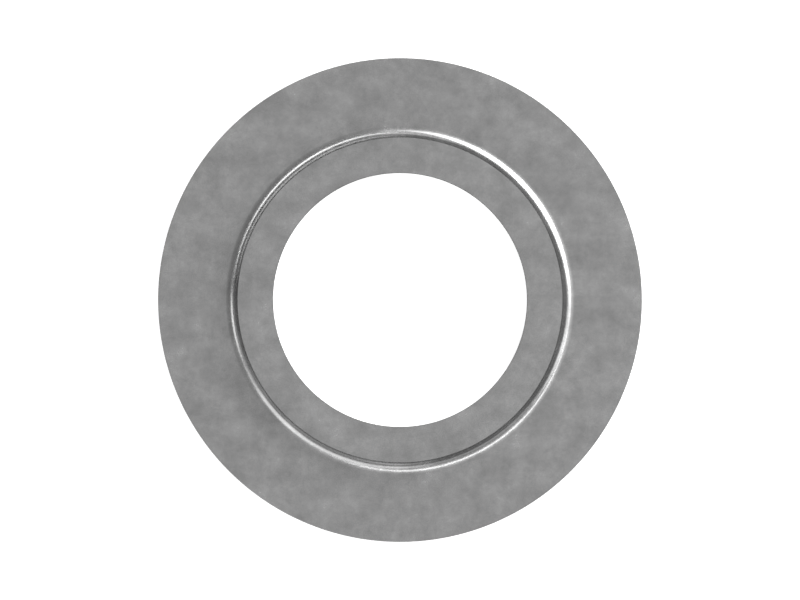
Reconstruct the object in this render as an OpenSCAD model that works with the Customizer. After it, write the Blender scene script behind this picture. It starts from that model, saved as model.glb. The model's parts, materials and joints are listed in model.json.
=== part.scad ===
// Reducing washer, pressed from one piece of zinc-plated steel sheet.
// The flange seats on a panel, round a hole that is too large for the fitting.
// The raised centre drops into that hole, and the smaller hole in it takes the
// fitting. The back has the recess that the press leaves under the centre.
// Millimetres, +Z up. The origin is on the axis, at the back of the flange.

/* [Flange] */
// Outside diameter of the flange
flange_d = 43; // [38:0.5:60]
// Thickness of the sheet
sheet_t = 1.2; // [1:0.1:2]

/* [Raised centre] */
// Diameter of the hole
hole_d = 22.5; // [18:0.1:24]
// Diameter of the raised centre, at its wall
centre_d = 28.8; // [28:0.1:33]
// Height that the raised centre stands above the flange
centre_rise = 2.4; // [1.4:0.1:3.6]
// Radius of the fillet at the foot of the raised centre
foot_r = 1.1; // [0.5:0.05:1.2]
// Radius left on the raised centre's top edge
crown_edge_r = 0.02; // [0.02:0.01:0.15]

/* [Recess in the back] */
// Thickness of the wall between the recess and the side of the raised centre
step_wall = 0.9; // [0.7:0.05:1.2]
// Radius of the corner between the recess's wall and its floor
recess_corner_r = 0.3; // [0.1:0.05:0.4]
// Radius of the rounded rim of the recess
recess_rim_r = 0.45; // [0.2:0.05:0.6]

/* [Cut edges] */
// Radius of the rolled edge, on the side where the cut starts
roll_r = 0.15; // [0.05:0.01:0.2]
// Height of the straight, burnished land of a cut edge
land_h = 0.6; // [0.4:0.05:0.75]
// How far the torn part of a cut edge leans back from the land
tear_lean = 0.03; // [0.02:0.01:0.1]

/* [Hidden] */
$fn = 180;

flange_r = flange_d / 2;
hole_r = hole_d / 2;
centre_r = centre_d / 2;
recess_r = centre_r - step_wall;
crown_z = centre_rise + sheet_t;

// The fill of an inside corner whose walls run along +X and +Y: a square less a quarter circle.
// Cut from an outside corner instead, it rounds that corner.
module corner_fill(r) {
    difference() {
        square(r);
        translate([r, r]) circle(r);
    }
}

// What blanking takes off the square edge of a sheet: the roll at the bottom,
// and the lean of the torn part above the land. The sheet lies on the +X side,
// with its edge on the Y axis and its rolled face on the X axis.
module cut_edge() {
    corner_fill(roll_r);
    polygon([
        [0, roll_r + land_h],
        [tear_lean, sheet_t],
        [0, sheet_t],
    ]);
}

module flange_section() {
    difference() {
        translate([recess_r, 0]) square([flange_r - recess_r, sheet_t]);
        translate([flange_r, 0]) mirror([1, 0]) cut_edge();
        translate([recess_r, 0]) corner_fill(recess_rim_r);
    }
}

module centre_section() {
    difference() {
        translate([hole_r, centre_rise]) square([centre_r - hole_r, sheet_t]);
        translate([hole_r, centre_rise]) cut_edge();
        translate([centre_r, crown_z]) rotate(180) corner_fill(crown_edge_r);
    }
}

// The wall that joins the two levels, with the fillets at the foot outside and in the recess.
module step_section() {
    translate([recess_r, recess_rim_r])
        square([step_wall, centre_rise + sheet_t / 2 - recess_rim_r]);
    translate([centre_r, sheet_t]) corner_fill(foot_r);
    translate([recess_r, centre_rise]) rotate(180) corner_fill(recess_corner_r);
}

module washer() {
    color("darkgray")
        rotate_extrude() {
            flange_section();
            step_section();
            centre_section();
        }
}

washer();
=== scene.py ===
# A reducing washer, pressed from one piece of zinc-plated steel sheet, on a white floor.
# The washer is drawn as half its section, whose corners are rounded one by one, and spun
# about its axis. Metres, +Z up, with the origin on the axis at the back of the flange.
import json
import math

import bmesh
import bpy
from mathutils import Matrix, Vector


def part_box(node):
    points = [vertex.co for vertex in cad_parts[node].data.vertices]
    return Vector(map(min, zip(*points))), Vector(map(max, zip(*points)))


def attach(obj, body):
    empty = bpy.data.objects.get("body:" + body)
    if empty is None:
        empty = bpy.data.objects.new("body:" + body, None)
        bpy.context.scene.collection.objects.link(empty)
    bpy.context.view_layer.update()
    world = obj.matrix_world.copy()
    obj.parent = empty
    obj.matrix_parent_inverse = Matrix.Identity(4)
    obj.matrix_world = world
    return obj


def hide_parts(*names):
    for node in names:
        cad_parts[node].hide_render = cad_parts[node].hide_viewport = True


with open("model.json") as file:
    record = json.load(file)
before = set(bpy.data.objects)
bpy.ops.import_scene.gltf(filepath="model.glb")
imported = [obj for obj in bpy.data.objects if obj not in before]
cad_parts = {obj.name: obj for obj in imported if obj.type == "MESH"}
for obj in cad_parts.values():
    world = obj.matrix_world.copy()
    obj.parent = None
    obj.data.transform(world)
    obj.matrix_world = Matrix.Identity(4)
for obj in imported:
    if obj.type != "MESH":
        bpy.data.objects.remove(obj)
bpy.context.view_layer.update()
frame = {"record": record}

MM = 0.001


# Sizes that the frame gives
def span_z(mount):
    """The lowest and the highest point of an upright bore or pin."""
    half = mount["dims"]["length_mm"] * MM / 2
    return mount["pos_m"][2] - half, mount["pos_m"][2] + half


MOUNTS = {mount["name"]: mount for mount in frame["record"]["mounts"]}
FLANGE_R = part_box("washer")[1].x
CROWN_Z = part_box("washer")[1].z
FLANGE_Z = MOUNTS["flange_seat"]["pos_m"][2]
HOLE_R = MOUNTS["fitting_hole"]["dims"]["r_mm"] * MM
CENTRE_R = MOUNTS["panel_spigot"]["dims"]["r_mm"] * MM
LAND_LOW, LAND_HIGH = span_z(MOUNTS["fitting_hole"])
WALL_LOW, WALL_HIGH = span_z(MOUNTS["panel_spigot"])

# The sheet, and what the press leaves on it
SHEET_T = FLANGE_Z
CENTRE_BACK_Z = CROWN_Z - SHEET_T
STEP_WALL = 0.9 * MM
RECESS_R = CENTRE_R - STEP_WALL
FOOT_FILLET = WALL_LOW - FLANGE_Z
CROWN_EDGE = CROWN_Z - WALL_HIGH
ROLLED_EDGE = LAND_LOW - CENTRE_BACK_Z
LAND_TOP = LAND_HIGH - CENTRE_BACK_Z
RECESS_CORNER = 0.3 * MM
RECESS_RIM = 0.45 * MM
TEAR_LEAN = 0.03 * MM

# How finely the section is spun, and the arcs in it are cut
SPIN_STEPS = 480
QUARTER_TURN = math.radians(90)
ARC_STEP = math.radians(4)
SMALL_ARC_STEP = math.radians(15)
ONE_FLAT = QUARTER_TURN
SMOOTH_BELOW = math.radians(30)
SAME_PLACE = 0.0001 * MM

# A face belongs to a cut edge only while the Z of its normal is below this
UPRIGHT_BELOW = 0.3

# Where in the sheet the washer was punched, which sets how the zinc's clouds fall on it
PLACE_IN_SHEET = (59 * MM, 19 * MM, -31 * MM)

# Sizes of the patterns in the finish
CLOUD_W = 2.7 * MM
FLECK_W = 0.5 * MM
GRAIN_W = 0.1 * MM
GRAIN_H = 0.0005 * MM
STREAK_STRETCH = 10

# The Mix node has one set of sockets for numbers, and one for colours
NUMBER_A, NUMBER_B, NUMBER_OUT = 2, 3, 0
COLOUR_A, COLOUR_B, COLOUR_OUT = 6, 7, 2

# The photograph's frame: straight down on the flange, which takes four fifths of its height
IMAGE_W_PX = 800
FLANGE_W_PX = 484.2
CAMERA_H = 800 * MM
SENSOR_W_MM = 36

# The studio
FLOOR_Z = -0.01 * MM
FLOOR_R = 3
LIGHT_DISTANCE = 1.2


# Helpers for modelling
def deselect_all():
    if bpy.context.object and bpy.context.object.mode != "OBJECT":
        bpy.ops.object.mode_set(mode="OBJECT")
    bpy.ops.object.select_all(action="DESELECT")


def select_in_mesh(mesh, kind, wanted):
    """In edit mode, selects the vertices, edges or faces that pass the test wanted."""
    bpy.ops.mesh.select_all(action="DESELECT")
    bpy.ops.mesh.select_mode(type=kind)
    shape = bmesh.from_edit_mesh(mesh)
    parts = {"VERT": shape.verts, "EDGE": shape.edges, "FACE": shape.faces}[kind]
    for part in parts:
        if wanted(part):
            part.select_set(True)
    shape.select_flush_mode()
    bmesh.update_edit_mesh(mesh)


def extrude_to(start, end):
    """Draws the section's next straight side, from the vertex that is selected."""
    step = Vector(end) - Vector(start)
    bpy.ops.mesh.extrude_vertices_move(
        TRANSFORM_OT_translate={"value": (step.x, 0, step.y)}
    )


def round_corner(mesh, corner, radius, arc_step=ARC_STEP):
    """Rounds one square corner of the section to an arc."""
    def at_corner(vert):
        return (Vector((vert.co.x, vert.co.z)) - Vector(corner)).length < SAME_PLACE

    select_in_mesh(mesh, "VERT", at_corner)
    bpy.ops.mesh.bevel(
        affect="VERTICES",
        offset_type="OFFSET",
        offset=radius,
        segments=round(QUARTER_TURN / arc_step),
        profile=0.5,
        clamp_overlap=False,
    )


# The washer
def draw_section():
    """Half of the washer's section, as one face in the XZ plane, with square corners."""
    corners = [
        (HOLE_R, CENTRE_BACK_Z),
        (HOLE_R, CENTRE_BACK_Z + LAND_TOP),
        (HOLE_R + TEAR_LEAN, CROWN_Z),
        (CENTRE_R, CROWN_Z),
        (CENTRE_R, FLANGE_Z),
        (FLANGE_R - TEAR_LEAN, FLANGE_Z),
        (FLANGE_R, LAND_TOP),
        (FLANGE_R, 0),
        (RECESS_R, 0),
        (RECESS_R, CENTRE_BACK_Z),
    ]
    bpy.ops.mesh.primitive_plane_add(size=SHEET_T, location=(0, 0, 0))
    washer = bpy.context.object
    bpy.ops.object.mode_set(mode="EDIT")
    bpy.ops.mesh.select_all(action="SELECT")
    bpy.ops.mesh.merge(type="CENTER")
    bpy.ops.transform.translate(value=(corners[0][0], 0, corners[0][1]))
    for start, end in zip(corners, corners[1:]):
        extrude_to(start, end)
    bpy.ops.mesh.select_all(action="SELECT")
    bpy.ops.mesh.edge_face_add()
    return washer


def model_washer():
    deselect_all()
    washer = draw_section()
    washer.name = washer.data.name = "pressed_washer"
    mesh = washer.data
    round_corner(mesh, (HOLE_R, CENTRE_BACK_Z), ROLLED_EDGE, SMALL_ARC_STEP)
    round_corner(mesh, (CENTRE_R, CROWN_Z), CROWN_EDGE, ONE_FLAT)
    round_corner(mesh, (CENTRE_R, FLANGE_Z), FOOT_FILLET)
    round_corner(mesh, (FLANGE_R, 0), ROLLED_EDGE, SMALL_ARC_STEP)
    round_corner(mesh, (RECESS_R, 0), RECESS_RIM)
    round_corner(mesh, (RECESS_R, CENTRE_BACK_Z), RECESS_CORNER)
    bpy.ops.mesh.select_all(action="SELECT")
    bpy.ops.mesh.delete(type="ONLY_FACE")
    bpy.ops.mesh.select_all(action="SELECT")
    bpy.ops.mesh.spin(steps=SPIN_STEPS, angle=math.tau, center=(0, 0, 0), axis=(0, 0, 1))
    bpy.ops.mesh.select_all(action="SELECT")
    bpy.ops.mesh.remove_doubles(threshold=SAME_PLACE)
    bpy.ops.mesh.normals_make_consistent(inside=False)
    bpy.ops.object.mode_set(mode="OBJECT")
    bpy.ops.object.shade_smooth_by_angle(angle=SMOOTH_BELOW)
    bpy.ops.object.modifier_add(type="WEIGHTED_NORMAL")
    washer.modifiers[-1].keep_sharp = True
    bpy.ops.object.modifier_apply(modifier=washer.modifiers[-1].name)
    return washer


def finish_cut_edge(washer, slot, bottom, top):
    """Gives one of the materials to the part of both cut edges that lies between two
    heights above the back of the sheet: the flange's back, and the raised centre's."""
    def on_cut_edge(face):
        middle = face.calc_center_median()
        out = middle.xy.length
        upright = abs(face.normal.z) < UPRIGHT_BELOW
        at_rim = abs(out - FLANGE_R) < TEAR_LEAN and bottom < middle.z < top
        at_hole = abs(out - HOLE_R) < TEAR_LEAN and bottom < middle.z - CENTRE_BACK_Z < top
        return upright and (at_rim or at_hole)

    bpy.ops.object.mode_set(mode="EDIT")
    select_in_mesh(washer.data, "FACE", on_cut_edge)
    washer.active_material_index = slot
    bpy.ops.object.material_slot_assign()
    bpy.ops.object.mode_set(mode="OBJECT")


def finish_washer(washer):
    for material in (zinc_plate(), burnished_zinc_edge(), torn_zinc_edge()):
        washer.data.materials.append(material)
    finish_cut_edge(washer, slot=1, bottom=ROLLED_EDGE, top=LAND_TOP)
    finish_cut_edge(washer, slot=2, bottom=LAND_TOP, top=SHEET_T)


# Materials
def linear(hex_colour):
    """The linear colour of an sRGB hex value."""
    channels = [int(hex_colour[i:i + 2], 16) / 255 for i in (1, 3, 5)]
    return [
        c / 12.92 if c <= 0.04045 else ((c + 0.055) / 1.055) ** 2.4 for c in channels
    ] + [1]


def new_material(name):
    material = bpy.data.materials.new(name)
    material.use_nodes = True
    material.node_tree.nodes.clear()
    return material


def add_node(tree, kind, settings=None, values=None, links=None, stops=None):
    """Adds a node: its settings, its sockets' values, the outputs that feed its sockets,
    and, on a colour ramp, its stops as (place, hex colour) pairs in rising order."""
    node = tree.nodes.new(kind)
    for name, value in (settings or {}).items():
        setattr(node, name, value)
    for socket, value in (values or {}).items():
        node.inputs[socket].default_value = value
    for socket, output in (links or {}).items():
        tree.links.new(output, node.inputs[socket])
    if stops:
        ramp = node.color_ramp.elements
        ramp[0].position = stops[0][0]
        ramp[-1].position = stops[-1][0]
        for place, _ in stops[1:-1]:
            ramp.new(place)
        for stop, (_, colour) in zip(ramp, stops):
            stop.color = linear(colour)
    return node


def zinc_plate():
    """Zinc electroplate on cold-rolled sheet: a satin grey whose film clouds it in soft
    patches a few millimetres wide, with small bright flecks in the lighter clouds.
    The film scatters a little of the light, so it isn't wholly a metal to the eye.
    Its real grain is a few microns wide, and is drawn 0.1 mm wide so that it shows."""
    material = new_material("zinc_plate_on_rolled_sheet")
    tree = material.node_tree
    place = add_node(tree, "ShaderNodeTexCoord")
    in_sheet = add_node(
        tree,
        "ShaderNodeMapping",
        values={"Location": PLACE_IN_SHEET},
        links={"Vector": place.outputs["Object"]},
    )
    clouds = add_node(
        tree,
        "ShaderNodeTexNoise",
        values={"Scale": 1 / CLOUD_W, "Detail": 8, "Roughness": 0.72},
        links={"Vector": in_sheet.outputs["Vector"]},
    )
    tone = add_node(
        tree,
        "ShaderNodeValToRGB",
        links={"Fac": clouds.outputs["Fac"]},
        stops=[(0.3, "#b8b8b8"), (0.5, "#cacaca"), (0.7, "#dcdcdc")],
    )
    crystals = add_node(
        tree,
        "ShaderNodeTexNoise",
        values={"Scale": 1 / FLECK_W, "Detail": 4, "Roughness": 0.6, "Distortion": 0.6},
        links={"Vector": in_sheet.outputs["Vector"]},
    )
    clustered = add_node(
        tree,
        "ShaderNodeMix",
        settings={"data_type": "FLOAT"},
        values={"Factor": 0.5},
        links={NUMBER_A: crystals.outputs["Fac"], NUMBER_B: clouds.outputs["Fac"]},
    )
    flecks = add_node(
        tree,
        "ShaderNodeValToRGB",
        links={"Fac": clustered.outputs[NUMBER_OUT]},
        stops=[(0.55, "#000000"), (0.7, "#606060")],
    )
    flecked = add_node(
        tree,
        "ShaderNodeMix",
        settings={"data_type": "RGBA", "blend_type": "SCREEN"},
        values={"Factor": 1},
        links={COLOUR_A: tone.outputs["Color"], COLOUR_B: flecks.outputs["Color"]},
    )
    grain = add_node(
        tree,
        "ShaderNodeTexNoise",
        values={"Scale": 1 / GRAIN_W, "Detail": 1},
        links={"Vector": in_sheet.outputs["Vector"]},
    )
    grain_tone = add_node(
        tree,
        "ShaderNodeValToRGB",
        links={"Fac": grain.outputs["Fac"]},
        stops=[(0.3, "#f2f2f2"), (0.7, "#ffffff")],
    )
    colour = add_node(
        tree,
        "ShaderNodeMix",
        settings={"data_type": "RGBA", "blend_type": "MULTIPLY"},
        values={"Factor": 1},
        links={
            COLOUR_A: flecked.outputs[COLOUR_OUT],
            COLOUR_B: grain_tone.outputs["Color"],
        },
    )
    gloss = add_node(
        tree,
        "ShaderNodeMapRange",
        values={"To Min": 0.22, "To Max": 0.3},
        links={"Value": clouds.outputs["Fac"]},
    )
    relief = add_node(
        tree,
        "ShaderNodeBump",
        values={"Distance": GRAIN_H},
        links={"Height": grain.outputs["Fac"]},
    )
    shader = add_node(
        tree,
        "ShaderNodeBsdfPrincipled",
        values={"Metallic": 0.92},
        links={
            "Base Color": colour.outputs[COLOUR_OUT],
            "Roughness": gloss.outputs["Result"],
            "Normal": relief.outputs["Normal"],
        },
    )
    add_node(
        tree, "ShaderNodeOutputMaterial", links={"Surface": shader.outputs["BSDF"]}
    )
    return material


def zinc_over_streaks(name, streak_w, streak_h, roughness, dark, light):
    """Zinc over a cut edge, whose fine streaks run the way that the punch went."""
    material = new_material(name)
    tree = material.node_tree
    place = add_node(tree, "ShaderNodeTexCoord")
    drawn_out = add_node(
        tree,
        "ShaderNodeMapping",
        values={"Scale": (1, 1, 1 / STREAK_STRETCH)},
        links={"Vector": place.outputs["Object"]},
    )
    streaks = add_node(
        tree,
        "ShaderNodeTexNoise",
        values={"Scale": 1 / streak_w, "Detail": 4, "Roughness": 0.6},
        links={"Vector": drawn_out.outputs["Vector"]},
    )
    tone = add_node(
        tree,
        "ShaderNodeValToRGB",
        links={"Fac": streaks.outputs["Fac"]},
        stops=[(0.3, dark), (0.7, light)],
    )
    relief = add_node(
        tree,
        "ShaderNodeBump",
        values={"Distance": streak_h},
        links={"Height": streaks.outputs["Fac"]},
    )
    shader = add_node(
        tree,
        "ShaderNodeBsdfPrincipled",
        values={"Metallic": 0.9, "Roughness": roughness},
        links={"Base Color": tone.outputs["Color"], "Normal": relief.outputs["Normal"]},
    )
    add_node(
        tree, "ShaderNodeOutputMaterial", links={"Surface": shader.outputs["BSDF"]}
    )
    return material


def burnished_zinc_edge():
    """The straight land of a cut edge, rubbed smooth by the punch: bright, finely streaked."""
    return zinc_over_streaks(
        "zinc_on_burnished_land",
        streak_w=0.12 * MM,
        streak_h=0.003 * MM,
        roughness=0.25,
        dark="#bcbcbc",
        light="#dadada",
    )


def torn_zinc_edge():
    """The torn part of a cut edge above the land: dull and rough, coarsely streaked."""
    return zinc_over_streaks(
        "zinc_on_torn_edge",
        streak_w=0.2 * MM,
        streak_h=0.02 * MM,
        roughness=0.5,
        dark="#a4a4a4",
        light="#cecece",
    )


# Floor, lights and camera
def make_floor():
    """The floor lies a hair below the washer, so that the two faces don't coincide.
    It glows, so that it comes out white, and it doesn't show in the metal."""
    deselect_all()
    bpy.ops.mesh.primitive_circle_add(
        vertices=96, radius=FLOOR_R, fill_type="NGON", location=(0, 0, FLOOR_Z)
    )
    bpy.ops.object.transform_apply(location=True)
    floor = bpy.context.object
    floor.name = "floor"
    material = new_material("matt_white_floor")
    tree = material.node_tree
    shader = add_node(
        tree,
        "ShaderNodeBsdfPrincipled",
        values={
            "Base Color": linear("#f4f4f4"),
            "Roughness": 0.9,
            "Emission Color": linear("#ffffff"),
            "Emission Strength": 0.8,
        },
    )
    add_node(
        tree, "ShaderNodeOutputMaterial", links={"Surface": shader.outputs["BSDF"]}
    )
    floor.data.materials.append(material)
    floor.visible_glossy = False


def direction(azimuth, elevation):
    """The unit vector that points this way from the washer. The azimuth is in degrees
    from +X, and the elevation in degrees from level."""
    turn, rise = math.radians(azimuth), math.radians(elevation)
    return Vector(
        (math.cos(turn) * math.cos(rise), math.sin(turn) * math.cos(rise), math.sin(rise))
    )


def soft_light(name, azimuth, elevation, width, height, radiance, reflections=1):
    """A softbox that faces the washer, width by height degrees as the washer sees it.
    It stays out of the camera's sight, and shows in so many of the metal's reflections:
    the bounce limit holds for rays sent to the light, and the nodes for rays that meet it,
    whose depth is one more than the reflections that they have been through."""
    towards = direction(azimuth, elevation)
    light = bpy.data.lights.new(name, "AREA")
    light.shape = "ELLIPSE"
    light.size = 2 * LIGHT_DISTANCE * math.tan(math.radians(width / 2))
    light.size_y = 2 * LIGHT_DISTANCE * math.tan(math.radians(height / 2))
    area = math.pi * light.size * light.size_y / 4
    light.energy = radiance * math.pi * area
    light.cycles.max_bounces = reflections - 1
    light.use_nodes = True
    tree = light.node_tree
    tree.nodes.clear()
    path = add_node(tree, "ShaderNodeLightPath")
    shown = add_node(
        tree,
        "ShaderNodeMath",
        settings={"operation": "LESS_THAN"},
        values={1: reflections + 1.5},
        links={0: path.outputs["Ray Depth"]},
    )
    glow = add_node(tree, "ShaderNodeEmission", links={"Strength": shown.outputs["Value"]})
    add_node(tree, "ShaderNodeOutputLight", links={"Surface": glow.outputs["Emission"]})
    lamp = bpy.data.objects.new(name, light)
    lamp.location = towards * LIGHT_DISTANCE
    lamp.rotation_euler = towards.to_track_quat("Z", "Y").to_euler()
    lamp.visible_camera = False
    bpy.context.scene.collection.objects.link(lamp)


def light_the_studio():
    """Grey walls that darken towards the floor, with a dark flag at the upper left."""
    world = bpy.data.worlds.new("studio")
    world.use_nodes = True
    tree = world.node_tree
    tree.nodes.clear()
    place = add_node(tree, "ShaderNodeTexCoord")
    height = add_node(
        tree, "ShaderNodeSeparateXYZ", links={0: place.outputs["Generated"]}
    )
    walls = add_node(
        tree,
        "ShaderNodeValToRGB",
        links={"Fac": height.outputs["Z"]},
        stops=[
            (0, "#303030"),
            (0.1, "#404040"),
            (0.25, "#686868"),
            (0.5, "#8c8c8c"),
            (1, "#d2d2d2"),
        ],
    )
    towards_flag = add_node(
        tree,
        "ShaderNodeVectorMath",
        settings={"operation": "DOT_PRODUCT"},
        values={1: direction(azimuth=150, elevation=55)},
        links={0: place.outputs["Generated"]},
    )
    flag = add_node(
        tree,
        "ShaderNodeValToRGB",
        links={"Fac": towards_flag.outputs["Value"]},
        stops=[(0.6, "#ffffff"), (0.95, "#a0a0a0")],
    )
    tone = add_node(
        tree,
        "ShaderNodeMix",
        settings={"data_type": "RGBA", "blend_type": "MULTIPLY"},
        values={"Factor": 1},
        links={COLOUR_A: walls.outputs["Color"], COLOUR_B: flag.outputs["Color"]},
    )
    sky = add_node(
        tree, "ShaderNodeBackground", links={"Color": tone.outputs[COLOUR_OUT]}
    )
    add_node(tree, "ShaderNodeOutputWorld", links={"Surface": sky.outputs["Background"]})
    bpy.context.scene.world = world


def light_the_washer():
    """The softboxes stand where the fillet round the raised centre shows them."""
    soft_light("upper_right_box", 40, 36, 54, 41, 5)
    soft_light("top_box", 73, 38, 26, 21, 1.9)
    soft_light("top_glow", 84, 8, 30, 16, 0.7)
    soft_light("right_box", 1, 46, 32, 17, 1.55)
    soft_light("lower_right_box", 341, 28, 31, 18, 1.35)
    soft_light("upper_left_strip", 130, 23, 78, 11, 2.4, reflections=2)
    soft_light("upper_left_spot", 126, 25, 38, 9, 1.7)
    soft_light("left_spot", 188, 29, 17, 16, 2.3)
    soft_light("left_glow", 200, 5, 44, 18, 0.3)
    soft_light("lower_left_glow", 238, 25, 66, 42, 0.5, reflections=2)
    soft_light("lower_left_fill", 226, 25, 24, 38, 0.82)
    soft_light("bottom_fill", 248, 26, 18, 28, 0.75)
    soft_light("bottom_spot", 270, 18, 14, 22, 0.9, reflections=2)
    soft_light("bottom_right_strip", 298, 56, 60, 9, 3)
    soft_light("bottom_right_glow", 300, 12, 60, 16, 0.35)


def place_camera():
    camera = bpy.data.cameras.new("camera")
    camera.sensor_width = SENSOR_W_MM
    frame_w = IMAGE_W_PX * 2 * FLANGE_R / FLANGE_W_PX
    camera.lens = SENSOR_W_MM * CAMERA_H / frame_w
    camera.clip_start = 10 * MM
    camera.clip_end = 10
    holder = bpy.data.objects.new("camera", camera)
    holder.location = (0, 0, FLANGE_Z + CAMERA_H)
    bpy.context.scene.collection.objects.link(holder)
    bpy.context.scene.camera = holder


# The scene
washer = model_washer()
finish_washer(washer)
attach(washer, "root")
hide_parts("washer")

make_floor()
light_the_studio()
light_the_washer()
place_camera()
bpy.context.scene.view_settings.view_transform = "Standard"
